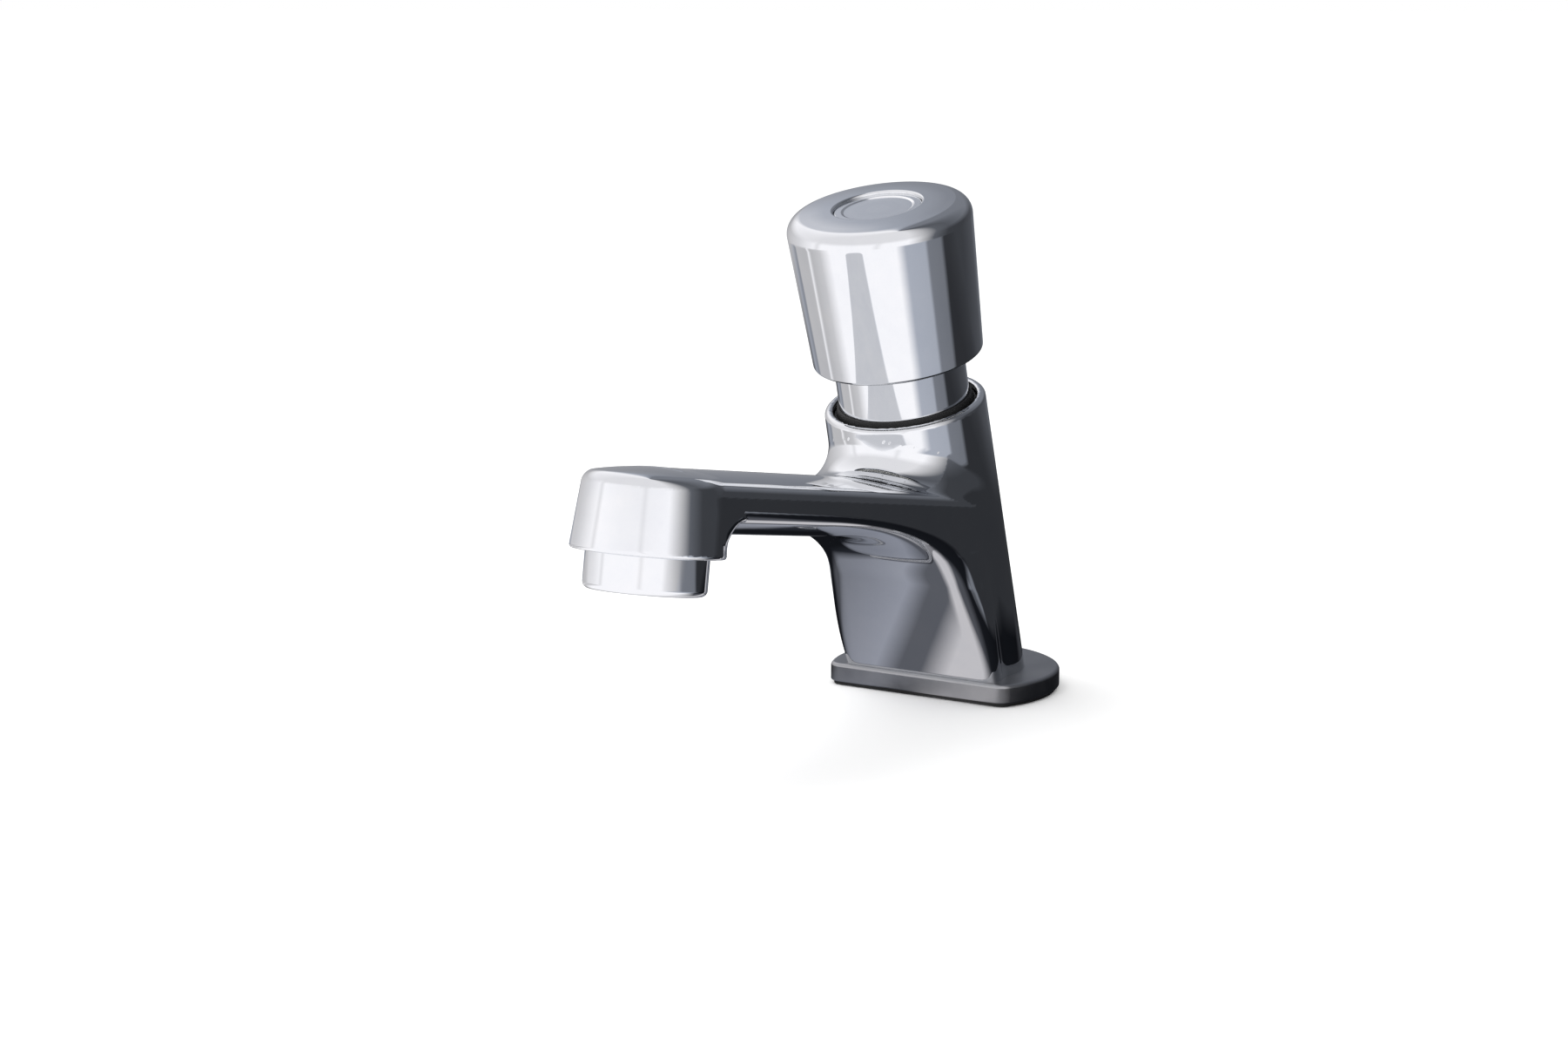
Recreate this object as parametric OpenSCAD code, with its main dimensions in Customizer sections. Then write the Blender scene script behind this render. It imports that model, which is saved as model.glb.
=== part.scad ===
// Push timed tap: a deck-mounted, self-closing basin tap with a leaning push button.
// Millimetres. Z is up, and z = 0 is the deck that the base gasket lies on.
// The spout points along -Y, and X is to the right seen from the front.
// The threaded shank goes down through the deck on the Z axis.
// The push axis leans forward from the origin, and a name ending in _s is a
// distance along it. A name ending in _r is a radius, in _t a thickness.

/* [Column] */
// Lean of the push axis towards the spout, in degrees
lean = 15.4; // [10:0.1:18]
// Distance along the push axis from the deck to the collar
collar_s = 76.5; // [75:0.5:84]
// Radius of the collar, the top rim of the column
collar_r = 19.5; // [18.6:0.1:21]
// Radius of the column at the deck
column_foot_r = 20.4; // [19.5:0.1:22]
// Rounding of the collar's outer edge
collar_edge_r = 1.2; // [0.4:0.1:1.5]

/* [Leg] */
// Front face of the leg, ahead of the shank axis, where it stands on the plate
leg_front = 13.6; // [12.8:0.1:14]
// Forward lean of the leg's front face, in degrees
leg_lean = 24.5; // [20:0.5:26]
// Half width of the leg's front at its foot, where its corners flare
leg_half_w = 24.2; // [23:0.1:24.5]
// Half width of the leg's front where the arch runs into it
leg_top_half_w = 20.4; // [19.6:0.1:21]
// Rounding of the leg's two front corners
leg_corner_r = 4.5; // [2:0.1:6]
// How far the leg's corners run on inside the arch's sides
leg_fade_w = 1; // [0.5:0.1:2]

/* [Base] */
// Radius of the round back of the base plate
plate_r = 28.5; // [27.5:0.5:34]
// Flat front of the base plate, ahead of the shank axis
plate_front = 14.6; // [14.2:0.1:18]
// Rounding of the plate's two front corners
plate_corner_r = 4; // [2:0.1:6]
// Thickness of the base plate
plate_t = 4.6; // [4:0.1:8]
// Thickness of the base gasket
gasket_t = 0.8; // [0.6:0.1:2]
// How far the gasket's edge stays inside the plate's edge
gasket_inset = 0.8; // [0.4:0.1:2]

/* [Spout] */
// Distance from the shank axis forward to the centre of the spout head's top
reach = 123.4; // [115:0.5:140]
// Height of the spout head's top centre above the deck
head_z = 69.3; // [67:0.1:73]
// Tilt of the spout head and rise of the spout, in degrees
head_tilt = 9; // [7:0.1:10]
// Radius of the spout head at its top
head_top_r = 15.1; // [14.5:0.1:17]
// Radius of the spout head at its foot
head_foot_r = 16.7; // [15.5:0.1:18]
// Height of the spout head
head_h = 17; // [15.5:0.1:20]
// Rounding of the head's top edge
head_edge_r = 2; // [0.8:0.1:3]
// Width of the spout where it leaves the head
spout_w = 30; // [26:0.5:32]
// Width of the spout where it meets the column
spout_root_w = 39; // [34:0.5:40]
// Depth of the spout's side edges below its straight top line
spout_side_h = 8.4; // [7:0.1:10]
// How far the rounded underside hangs below the side edges
belly = 4.2; // [3:0.1:5]
// Height of the spout's crown above its straight top line
crown_lift = 1.4; // [0.6:0.1:2]
// Height of the crown from the side edges to the middle
crown_h = 2.6; // [1.4:0.1:3.4]
// How far behind the head's centre the underside starts to arch down
arch_start = 41; // [30:1:50]
// Height at which the arch runs into the leg's front face
arch_foot_z = 30; // [26:0.5:32]
// Rounding between the spout's top and the column's front
root_fillet_r = 8; // [4:0.5:10]
// Rounding between the spout's underside and the head's back
head_fillet_r = 5; // [3:0.1:6]
// How far the column and the head's rounding keep inside the faces that they run into
sunk_t = 0.4; // [0.2:0.1:0.6]
// How far the arch's web stands proud of the leg's front face
proud_t = 0.05; // [0.02:0.01:0.1]
// Wall above the waterway in the spout
waterway_roof_t = 2.6; // [2:0.1:4]
// Width of the waterway
waterway_w = 16; // [10:0.5:18]
// Height of the waterway
waterway_h = 5.6; // [4:0.1:6]

/* [Push button] */
// Bare neck between the collar and the cap
cap_gap = 11.6; // [10:0.1:14]
// Height of the cap
cap_h = 37.6; // [36:0.1:44]
// Radius of the cap at its top
cap_top_r = 22; // [21.6:0.1:24]
// Radius of the cap at its foot
cap_foot_r = 20.4; // [20:0.1:21.5]
// Rounding of the cap's top edge
cap_edge_r = 4.4; // [2:0.1:5]
// Wall of the cap's skirt
cap_wall = 2; // [1.4:0.1:2.2]
// Thickness of the cap's top
cap_top_t = 5; // [4.4:0.1:6]
// Radius of the recess in the cap's top
cap_recess_r = 10.5; // [8:0.1:12]
// Depth of that recess
cap_recess_d = 1.8; // [1.2:0.1:2]
// Thickness of the blank disc in the recess
cap_disc_t = 1.1; // [0.8:0.1:1.2]
// Depth of the boss inside the cap that holds the stem
boss_h = 9; // [8:0.1:11]
// Radius of that boss
boss_r = 7; // [6:0.1:9]
// Depth of the stem's socket in the boss
socket_d = 6; // [4:0.1:7]
// Radius of the cap screw's head
cap_screw_head_r = 4.6; // [4:0.1:5]
// Thickness of the cap screw's head
cap_screw_head_t = 2.2; // [1.8:0.1:2.4]
// Radius of the cap screw's thread
cap_screw_r = 2; // [1.6:0.1:2.3]
// How deep the cap screw's thread goes into the stem
cap_screw_grip = 8; // [6:0.5:12]
// Radius over the corners of the cap screw's hex socket
cap_screw_hex_r = 2; // [1.4:0.1:2.4]
// Travel of the push button
travel = 8; // [5:0.1:9]
// Height of the guide ring inside the cap's skirt
guide_ring_h = 6; // [4:0.1:8]
// How far the guide ring sits above the skirt's foot
guide_ring_lift = 2; // [1:0.1:4]

/* [Bonnet] */
// Radius of the bonnet's bare neck
neck_r = 15.7; // [15.6:0.1:16]
// Thickness of the bonnet's top
bonnet_top_t = 4; // [3:0.1:5]
// How much the bonnet's thread stands out from the neck
thread_step = 0.8; // [0.6:0.1:1]
// Width of the dust ring around the neck's foot
dust_ring_w = 1.7; // [1.4:0.1:2]
// How far the dust ring's seat lies below the collar
dust_ring_d = 3; // [2.4:0.1:4]
// Distance along the push axis to the bonnet's foot
bonnet_foot_s = 58; // [57.4:0.1:61]
// Radius of the bush that guides the stem in the bonnet's top
bush_r = 6; // [5.4:0.1:7]
// Thickness of the wiper seal on top of the bush
wiper_t = 1.4; // [1:0.1:1.6]
// How much wider the wiper seal is than the bush
wiper_step = 2; // [1.6:0.1:2.4]

/* [Cartridge] */
// Radius of the push stem
stem_r = 3.5; // [3:0.1:3.8]
// Distance along the push axis to the underside of the valve seat
seat_s = 42; // [41:0.1:44]
// Thickness of the valve seat
seat_t = 4; // [3.6:0.1:5]
// Radius of the hole in the valve seat
orifice_r = 5.5; // [5:0.1:6]
// Bore radius of the cartridge sleeve
sleeve_bore_r = 10.5; // [10:0.1:10.6]
// Wall of the cartridge sleeve
sleeve_wall = 2.4; // [2.2:0.1:2.5]
// Ledge in the sleeve that carries the stem guide
ledge_w = 1; // [0.8:0.1:1.4]
// Radius of the water ports in the sleeve
port_r = 2.4; // [1.5:0.1:2.8]
// Radius of the water space around the sleeve
water_r = 15; // [14.6:0.1:15.6]
// Thickness of the stem guide
guide_t = 4.4; // [4:0.1:5]
// Space between the valve seat and the stem guide
guide_lift = 10; // [9:0.1:11]
// Length of the return spring at rest
spring_l = 21; // [18:0.5:22]
// Mean radius of the return spring
spring_r = 7.2; // [6.4:0.1:7.6]
// Radius of the spring's wire
wire_r = 0.65; // [0.4:0.05:0.8]
// Turns of the return spring
turns = 6; // [4:1:7]
// Length of the piston
piston_h = 9; // [8:0.1:10]
// Depth of the piston's seal groove
seal_groove_d = 1.9; // [1.4:0.1:2.2]
// Width of the piston's seal groove
seal_groove_w = 3; // [2.4:0.1:3.4]
// Radius of the stem's collar above the piston
stem_collar_r = 5.6; // [5:0.1:6]
// Thickness of that collar
stem_collar_t = 2; // [1.4:0.1:2.4]
// Radius of the metering screw in the piston
metering_r = 1; // [0.8:0.1:1.1]
// Radius of the valve disc under the seat
valve_r = 7.2; // [6.6:0.1:7.6]
// Thickness of the valve disc
valve_t = 3; // [2.4:0.1:3.6]
// Thickness of the rubber washer on the valve disc
valve_washer_t = 2.4; // [1.6:0.1:3]
// Radius of the stem's threaded lower end
stem_tail_r = 2.5; // [2:0.1:2.8]
// How far that end stands out of the valve nut
stem_tail_l = 0.6; // [0.4:0.1:1]
// Thickness of the valve nut
valve_nut_t = 2.8; // [2.2:0.1:3.2]
// Radius over the corners of the valve nut
valve_nut_r = 4.6; // [4.2:0.1:5]
// Radius of the inlet chamber under the valve seat
chamber_r = 9.5; // [9:0.1:9.8]
// Radius of the passage below that chamber
passage_r = 5; // [4:0.1:5.4]
// Thickness of an O-ring's cord, as a radius
o_ring_r = 0.8; // [0.6:0.05:0.85]

/* [Shank] */
// Radius of the threaded shank, a half inch pipe thread
shank_r = 10.48; // [10.2:0.01:10.8]
// Length of the shank below the deck
shank_l = 48; // [42:1:80]
// How high the shank reaches into the leg
shank_top = 14; // [12:0.1:14.4]
// Width of the relief groove between the backnut's thread and the inlet's
relief_w = 2; // [1.5:0.1:4]
// Depth of that groove
relief_d = 0.9; // [0.5:0.1:1.5]
// Radius of the shank's bore
shank_bore_r = 5.5; // [5:0.1:6]
// Radius of the inlet strainer
strainer_r = 6.6; // [6.4:0.1:7]
// Thickness of the inlet strainer
strainer_t = 1.2; // [1:0.1:2]
// Radius of the strainer's holes
strainer_hole_r = 0.7; // [0.5:0.05:0.8]
// Pitch of the strainer's rings of holes
strainer_pitch = 2.2; // [1.9:0.1:2.4]
// Thickness of the sealing washer on top of the shank
shank_seal_t = 1.5; // [1:0.1:2]
// Bore radius of that washer
shank_seal_bore_r = 7.6; // [7.2:0.1:8]
// Height of the space above that washer
plenum_h = 4; // [3:0.1:4.5]
// Deck thickness between the gasket and the washers
deck_t = 20; // [5:1:25]
// Radius of the rubber washer under the deck
deck_rubber_r = 20; // [17:0.5:25]
// Thickness of the rubber washer
deck_rubber_t = 2.5; // [1.5:0.1:4]
// Radius of the steel washer under the deck
deck_steel_r = 19; // [16:0.5:24]
// Thickness of the steel washer
deck_steel_t = 1.6; // [1:0.1:3]
// Width across the flats of the backnut
backnut_af = 30; // [27:0.5:36]
// Thickness of the backnut
backnut_t = 8; // [6:0.1:10]

/* [Aerator] */
// Radius of the aerator shell
aerator_r = 13.4; // [13:0.1:14.5]
// Height of the aerator shell below the head
aerator_h = 8.3; // [7:0.1:10]
// Radius of the aerator's thread
aerator_thread_r = 12.05; // [11.8:0.05:12.2]
// Length of the aerator's thread
aerator_thread_l = 7.4; // [6.6:0.1:8]
// Rounding of the aerator shell's foot
aerator_edge_r = 1.4; // [0.6:0.1:1.8]
// Bore radius of the aerator shell
aerator_bore_r = 10.6; // [10.2:0.1:10.8]
// Lip that holds the insert in the shell
aerator_lip = 1; // [0.8:0.1:1.5]
// Thickness of the sealing washer above the shell
aerator_washer_t = 1.4; // [1:0.1:1.6]
// Height of the aerator insert
aerator_core_h = 9; // [7:0.1:10]
// Wall of the aerator insert
core_wall = 1.6; // [1.2:0.1:2]
// Radius of the insert's hub
core_hub_r = 3; // [2:0.1:4]
// Ribs between the hub and the wall
core_ribs = 8; // [5:1:10]
// Thickness of the outlet screen
screen_t = 0.8; // [0.6:0.1:1.2]
// Pitch of the holes in the outlet screen
screen_pitch = 3; // [2.6:0.1:4]

/* [Fits] */
// Gap between pieces that are screwed or pressed together
fit_gap = 0.05; // [0.03:0.01:0.06]
// Gap between pieces that slide on one another
slide_gap = 0.08; // [0.05:0.01:0.1]
// Gap between the closed valve washer and its seat
seat_gap = 0.1; // [0.05:0.05:0.2]
// Clearance of the shank in the plate, gasket and washers
shank_clear = 0.4; // [0.3:0.1:0.8]
// Space left beyond a moving piece at the end of its travel
stop_gap = 1; // [0.6:0.1:1.5]

/* [Hidden] */
$fn = 96;

// Base stack
plate_z = gasket_t;
foot_z = gasket_t + plate_t;
shank_hole_r = shank_r + shank_clear;

// Push button, along the push axis
cap_foot_s = collar_s + cap_gap;
cap_top_s = cap_foot_s + cap_h;
ceiling_s = cap_top_s - cap_top_t;
boss_foot_s = ceiling_s - boss_h;
stem_top_s = boss_foot_s + socket_d;
cap_bore_r = cap_foot_r - cap_wall;
cap_screw_s = stem_top_s - cap_screw_grip;

// Bonnet, along the push axis
bonnet_top_s = boss_foot_s - travel - stop_gap;
bonnet_roof_s = bonnet_top_s - bonnet_top_t;
thread_r = neck_r + thread_step;
dust_seat_s = collar_s - dust_ring_d;
dust_bore_r = neck_r + dust_ring_w;
sleeve_r = sleeve_bore_r + sleeve_wall;
bonnet_bore_r = sleeve_r + fit_gap;
wiper_r = bush_r + wiper_step;

// Cartridge, along the push axis
seat_top_s = seat_s + seat_t;
guide_s = seat_top_s + guide_lift;
spring_s = guide_s + guide_t;
piston_s = spring_s + spring_l;
piston_r = sleeve_bore_r - slide_gap;
stem_hole_r = stem_r + slide_gap;
stem_shoulder_s = piston_s + piston_h;
valve_washer_s = seat_s - seat_gap - valve_washer_t;
valve_s = valve_washer_s - valve_t;
valve_nut_s = valve_s - valve_nut_t;
stem_tail_s = valve_nut_s - stem_tail_l;
chamber_s = stem_tail_s - travel - stop_gap;

// Shank
socket_r = shank_r + fit_gap;
seal_z = shank_top + shank_seal_t;
plenum_top = seal_z + plenum_h;
// The passage starts where its lowest edge just clears the seal's ledge
passage_s = (seal_z + passage_r * sin(lean)) / cos(lean);
rubber_z = -deck_t - deck_rubber_t;
steel_z = rubber_z - deck_steel_t;
backnut_z = steel_z - backnut_t;

// Spout head, in its own frame: origin at the top's centre, +Y back, +Z up
aerator_foot = -head_h - aerator_h;
washer_z = -head_h + aerator_thread_l;
plenum_z = washer_z + aerator_washer_t;
head_bore_r = aerator_thread_r + fit_gap;
core_r = aerator_bore_r - fit_gap;
core_z = aerator_foot + aerator_lip + screen_t;

// Side outline of the spout's underside and of the leg's front face, as [y, z]
function along(from, angle, d) = [from[0] + d * cos(angle), from[1] + d * sin(angle)];
function bezier(a, b, c, t) = (1 - t) * (1 - t) * a + 2 * t * (1 - t) * b + t * t * c;
function leg_front_at(z) = [-leg_front - (z - foot_z) * tan(leg_lean), z];
head_top = [-reach, head_z];
under_start = along(along(head_top, -head_tilt, arch_start), -head_tilt - 90, spout_side_h);
arch_end = leg_front_at(arch_foot_z);
// Where the straight underside and the leg's front face would cross
cross_d = ((arch_end[0] - under_start[0]) + (arch_end[1] - under_start[1]) * tan(leg_lean))
    / (cos(head_tilt) - sin(head_tilt) * tan(leg_lean));
arch_mid = along(under_start, -head_tilt, cross_d);
arch = [for (i = [0:16]) bezier(under_start, arch_mid, arch_end, i / 16)];

function spout_top_at(y) = [y, head_z - (y + reach) * tan(head_tilt)];
// Distance along the push axis at which the column's front meets the spout's top
root_s = (head_z - (reach - collar_r * cos(lean)) * tan(head_tilt) + collar_r * sin(lean))
    / (cos(lean) - sin(lean) * tan(head_tilt));
// Length of the spout from the head's centre to the push axis
spout_l = (reach - root_s * sin(lean)) / cos(head_tilt);

// The waterway runs back from the head into the water space round the sleeve
waterway_mid = waterway_roof_t + waterway_h / 2;
waterway_s = (head_z * cos(head_tilt) - reach * sin(head_tilt) - waterway_mid) / cos(lean + head_tilt);
waterway_l = (reach - waterway_s * sin(lean)) * cos(head_tilt)
    - (waterway_s * cos(lean) - head_z) * sin(head_tilt) - sleeve_bore_r / cos(lean + head_tilt);

// Half width of the spout at a distance behind the head's centre
function spout_half(d) = (spout_w + (spout_root_w - spout_w) * d / spout_l) / 2;
// The leg's corners lean in and go on up until they are lost in the arch's sides
leg_slope = (leg_half_w - leg_top_half_w) / (arch_foot_z - foot_z);
leg_in = atan(leg_slope * cos(leg_lean));
leg_top_z = arch_foot_z + (leg_top_half_w - spout_half(reach + arch_end[0]) + leg_fade_w) / leg_slope;

// A frame along the push axis
module on_axis(s = 0) {
    rotate([lean, 0, 0]) translate([0, 0, s]) children();
}

// A frame at the top of the spout head
module at_head() {
    translate([0, -reach, head_z]) rotate([-head_tilt, 0, 0]) children();
}

module tube(r_out, r_in, h) {
    difference() {
        cylinder(r = r_out, h = h);
        translate([0, 0, -1]) cylinder(r = r_in, h = h + 2);
    }
}

module o_ring(mean_r, cord_r) {
    rotate_extrude() translate([mean_r, 0]) circle(r = cord_r);
}

// A [y, z] outline across the tap, half_w to each side
module side_slab(points, half_w) {
    rotate([90, 0, 90]) translate([0, 0, -half_w])
        linear_extrude(height = 2 * half_w) polygon(points);
}

// Outline of the base plate: a round back, a flat front and two round corners
module plate_outline(inset) {
    r = plate_r - inset;
    front = plate_front - inset;
    c = plate_corner_r - inset;
    cx = sqrt((r - c) * (r - c) - (front - c) * (front - c));
    k = (r + 1) / (r - c);
    difference() {
        circle(r = r);
        translate([-r - 1, -r - 1 - front]) square([2 * r + 2, r + 1]);
        for (side = [-1, 1])
            polygon([
                [side * cx, c - front], [side * cx, -front - 1], [side * (r + 1), -front - 1],
                [side * cx * k, (c - front) * k]
            ]);
    }
    for (side = [-1, 1]) translate([side * cx, c - front]) circle(r = c);
}

// The leg seen along the push axis: it starts inside the column and flares to the front
module leg_outline() {
    flare = 4 * leg_front;
    inside = collar_r - collar_edge_r;
    polygon([
        [-inside, 0], [-leg_half_w, -leg_front], [-leg_half_w, -flare],
        [leg_half_w, -flare], [leg_half_w, -leg_front], [inside, 0]
    ]);
}

// Everything behind the leg's front face and inside one of its leaning corners
module leg_corner(side) {
    big = 4 * plate_r;
    c = leg_corner_r;
    translate([side * leg_half_w, -leg_front, foot_z]) rotate([leg_lean, 0, 0])
        rotate([0, -side * leg_in, 0]) mirror([side < 0 ? 1 : 0, 0, 0])
            translate([0, 0, -big]) linear_extrude(height = 2 * big) {
                translate([-big, c]) square([big, big]);
                translate([-big, 0]) square([big - c, big]);
                translate([-c, c]) circle(r = c);
            }
}

module leg() {
    intersection() {
        on_axis(-foot_z) linear_extrude(height = 2 * leg_top_z) leg_outline();
        leg_corner(-1);
        leg_corner(1);
        translate([-plate_r, -3 * plate_r, foot_z])
            cube([2 * plate_r, 6 * plate_r, leg_top_z - foot_z]);
    }
}

// The leaning round column, kept just behind the leg's front face and the arch
module column() {
    far = 3 * plate_r;
    behind = concat(
        [[far, foot_z - sunk_t], leg_front_at(foot_z - sunk_t)],
        [for (i = [len(arch) - 1:-1:0]) arch[i]],
        [[under_start[0], 2 * collar_s], [far, 2 * collar_s]]
    );
    intersection() {
        on_axis() {
            cylinder(r1 = column_foot_r, r2 = collar_r, h = collar_s - collar_edge_r);
            translate([0, 0, collar_s - collar_edge_r]) {
                cylinder(r = collar_r - collar_edge_r, h = collar_edge_r);
                o_ring(collar_r - collar_edge_r, collar_edge_r);
            }
        }
        translate([0, sunk_t, sunk_t]) side_slab(behind, far);
    }
}

// The bar of the spout: a crowned top, straight sides and a round underside
module spout_section() {
    half = spout_w / 2;
    top_r = (half * half + crown_h * crown_h) / (2 * crown_h);
    under_r = (half * half + belly * belly) / (2 * belly);
    intersection() {
        translate([0, crown_lift - top_r]) circle(r = top_r);
        translate([0, under_r - belly - spout_side_h]) circle(r = under_r);
    }
}

// The spout from above: narrow at the head, wide at the column
module spout_plan() {
    polygon([
        [-spout_half(0), 0], [spout_half(0), 0],
        [spout_half(spout_l), spout_l], [-spout_half(spout_l), spout_l]
    ]);
}

module spout() {
    at_head() intersection() {
        rotate([90, 0, 0]) mirror([0, 0, 1]) linear_extrude(height = spout_l) spout_section();
        translate([0, 0, -2 * head_h]) linear_extrude(height = 4 * head_h) spout_plan();
    }
}

// The web that carries the spout's side faces down into the leg
module arch_web() {
    back = [-arch_foot_z * tan(lean), arch_foot_z];
    top_front = spout_top_at(under_start[0]) - [0, crown_h];
    top_back = spout_top_at(-root_s * sin(lean)) - [0, crown_h];
    intersection() {
        translate([0, -proud_t, 0])
            side_slab(concat([top_front], arch, [back, top_back]), spout_root_w);
        translate([0, -reach, 0]) linear_extrude(height = 2 * head_z) spout_plan();
    }
}

// The rounded corner between the column and the spout's top
module root_fillet() {
    r = root_fillet_r;
    intersection() {
        on_axis() rotate_extrude() difference() {
            translate([sleeve_r, root_s - r]) square([collar_r + r - sleeve_r, 2 * r]);
            translate([collar_r + r, root_s + r]) circle(r = r);
        }
        at_head() translate([0, 0, -2 * head_h]) linear_extrude(height = 4 * head_h) spout_plan();
        at_head() translate([-plate_r, 0, -spout_side_h]) cube([2 * plate_r, spout_l, head_h + plate_r]);
    }
}

// The rounded corner between the spout's underside and the head's back
module head_fillet() {
    r = head_fillet_r;
    at_head() intersection() {
        rotate_extrude() difference() {
            translate([head_bore_r + 1, -head_h + sunk_t])
                square([head_foot_r + r - head_bore_r - 1 - sunk_t, head_h - spout_side_h - sunk_t]);
            translate([head_foot_r + r - sunk_t, -head_h]) circle(r = r);
        }
        translate([0, 0, -2 * head_h]) linear_extrude(height = 4 * head_h) spout_plan();
    }
}

module head() {
    rim_r = head_top_r - head_edge_r;
    dome_r = (rim_r * rim_r + crown_lift * crown_lift) / (2 * crown_lift);
    at_head() {
        translate([0, 0, -head_h])
            cylinder(r1 = head_foot_r, r2 = head_top_r, h = head_h - head_edge_r);
        translate([0, 0, -head_edge_r]) {
            cylinder(r = rim_r, h = head_edge_r);
            o_ring(rim_r, head_edge_r);
        }
        intersection() {
            translate([0, 0, crown_lift - dome_r]) sphere(r = dome_r);
            translate([0, 0, -head_edge_r]) cylinder(r = rim_r, h = head_h);
        }
    }
}

module body_bores() {
    on_axis() {
        translate([0, 0, dust_seat_s]) cylinder(r = dust_bore_r, h = collar_s);
        translate([0, 0, bonnet_foot_s]) cylinder(r = thread_r + fit_gap, h = collar_s);
        translate([0, 0, seat_top_s]) cylinder(r = water_r, h = bonnet_foot_s - seat_top_s + 1);
        translate([0, 0, seat_s]) cylinder(r = bonnet_bore_r, h = seat_t + 1);
        translate([0, 0, chamber_s]) cylinder(r = chamber_r, h = seat_s - chamber_s + 1);
        translate([0, 0, passage_s]) cylinder(r = passage_r, h = chamber_s - passage_s + 1);
    }
    translate([0, 0, -1]) cylinder(r = socket_r, h = seal_z + 1);
    cylinder(r = shank_seal_bore_r, h = plenum_top);
    at_head() {
        translate([0, 0, -head_h - 1]) cylinder(r = head_bore_r, h = plenum_z + head_h + 1);
        translate([0, 0, plenum_z - 1])
            cylinder(r = aerator_bore_r, h = -waterway_roof_t - plenum_z + 1);
        translate([-waterway_w / 2, 0, -waterway_roof_t - waterway_h])
            cube([waterway_w, waterway_l, waterway_h]);
    }
}

module tap_body() {
    color("gainsboro") difference() {
        union() {
            column();
            leg();
            spout();
            arch_web();
            root_fillet();
            head_fillet();
            head();
        }
        body_bores();
    }
}

module base_plate() {
    color("darkgray") difference() {
        translate([0, 0, plate_z]) linear_extrude(height = plate_t) plate_outline(0);
        cylinder(r = shank_hole_r, h = 2 * foot_z);
    }
}

module base_gasket() {
    color("dimgray") difference() {
        linear_extrude(height = gasket_t) plate_outline(gasket_inset);
        translate([0, 0, -1]) cylinder(r = shank_hole_r, h = 2 * foot_z);
    }
}

module inlet_shank() {
    color("goldenrod") difference() {
        translate([0, 0, -shank_l]) cylinder(r = shank_r, h = shank_l + shank_top);
        translate([0, 0, -shank_l - 1]) cylinder(r = shank_bore_r, h = shank_l + shank_top + 2);
        translate([0, 0, shank_top - strainer_t]) cylinder(r = strainer_r + fit_gap, h = 2 * strainer_t);
        translate([0, 0, backnut_z - relief_w]) tube(shank_r + 1, shank_r - relief_d, relief_w);
    }
}

module shank_seal() {
    color("firebrick") translate([0, 0, shank_top]) tube(shank_r, shank_seal_bore_r, shank_seal_t);
}

module inlet_strainer() {
    color("lightgray") translate([0, 0, shank_top - strainer_t]) difference() {
        cylinder(r = strainer_r, h = strainer_t);
        for (ring = [0:2]) for (i = [0:max(0, 6 * ring - 1)])
            rotate([0, 0, i * 360 / max(1, 6 * ring)])
                translate([ring * strainer_pitch, 0, -1]) cylinder(r = strainer_hole_r, h = strainer_t + 2);
    }
}

module deck_rubber_washer() {
    color("dimgray") translate([0, 0, rubber_z]) tube(deck_rubber_r, shank_hole_r, deck_rubber_t);
}

module deck_steel_washer() {
    color("lightgray") translate([0, 0, steel_z]) tube(deck_steel_r, shank_hole_r, deck_steel_t);
}

module backnut() {
    color("goldenrod") translate([0, 0, backnut_z]) difference() {
        cylinder(r = backnut_af / 2 / cos(30), h = backnut_t, $fn = 6);
        translate([0, 0, -1]) cylinder(r = shank_r + fit_gap, h = backnut_t + 2);
    }
}

module valve_seat() {
    groove_h = 2 * o_ring_r + 2 * fit_gap;
    color("goldenrod") on_axis(seat_s) difference() {
        cylinder(r = sleeve_r, h = seat_t);
        translate([0, 0, -1]) cylinder(r = orifice_r, h = seat_t + 2);
        translate([0, 0, (seat_t - groove_h) / 2])
            tube(sleeve_r + 1, sleeve_r - 2 * o_ring_r - fit_gap, groove_h);
    }
}

module seat_o_ring() {
    color("black") on_axis(seat_s + seat_t / 2) o_ring(sleeve_r - o_ring_r, o_ring_r);
}

module cartridge_sleeve() {
    groove_h = 2 * o_ring_r + 2 * fit_gap;
    color("burlywood") on_axis(seat_top_s) difference() {
        cylinder(r = sleeve_r, h = bonnet_roof_s - seat_top_s);
        translate([0, 0, -1]) cylinder(r = sleeve_bore_r - ledge_w, h = bonnet_roof_s);
        translate([0, 0, guide_lift]) cylinder(r = sleeve_bore_r, h = bonnet_roof_s);
        for (i = [0:5]) translate([0, 0, guide_lift / 2]) rotate([90, 0, 60 * i])
            cylinder(r = port_r, h = 2 * sleeve_r);
        translate([0, 0, sleeve_ring_s() - seat_top_s - groove_h / 2])
            tube(sleeve_r + 1, sleeve_r - 2 * o_ring_r - fit_gap, groove_h);
    }
}

// The sleeve's O-ring sits just above the bonnet's foot
function sleeve_ring_s() = bonnet_foot_s + 4 * o_ring_r;

module sleeve_o_ring() {
    color("black") on_axis(sleeve_ring_s()) o_ring(sleeve_r - o_ring_r, o_ring_r);
}

module stem_guide() {
    groove_h = 2 * o_ring_r + 2 * fit_gap;
    color("whitesmoke") on_axis(guide_s) difference() {
        cylinder(r = sleeve_bore_r - fit_gap, h = guide_t);
        translate([0, 0, -1]) cylinder(r = stem_hole_r, h = guide_t + 2);
        translate([0, 0, (guide_t - groove_h) / 2])
            cylinder(r = stem_hole_r + 2 * o_ring_r + fit_gap, h = groove_h);
    }
}

module guide_o_ring() {
    color("black") on_axis(guide_s + guide_t / 2) o_ring(stem_hole_r + o_ring_r, o_ring_r);
}

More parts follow.
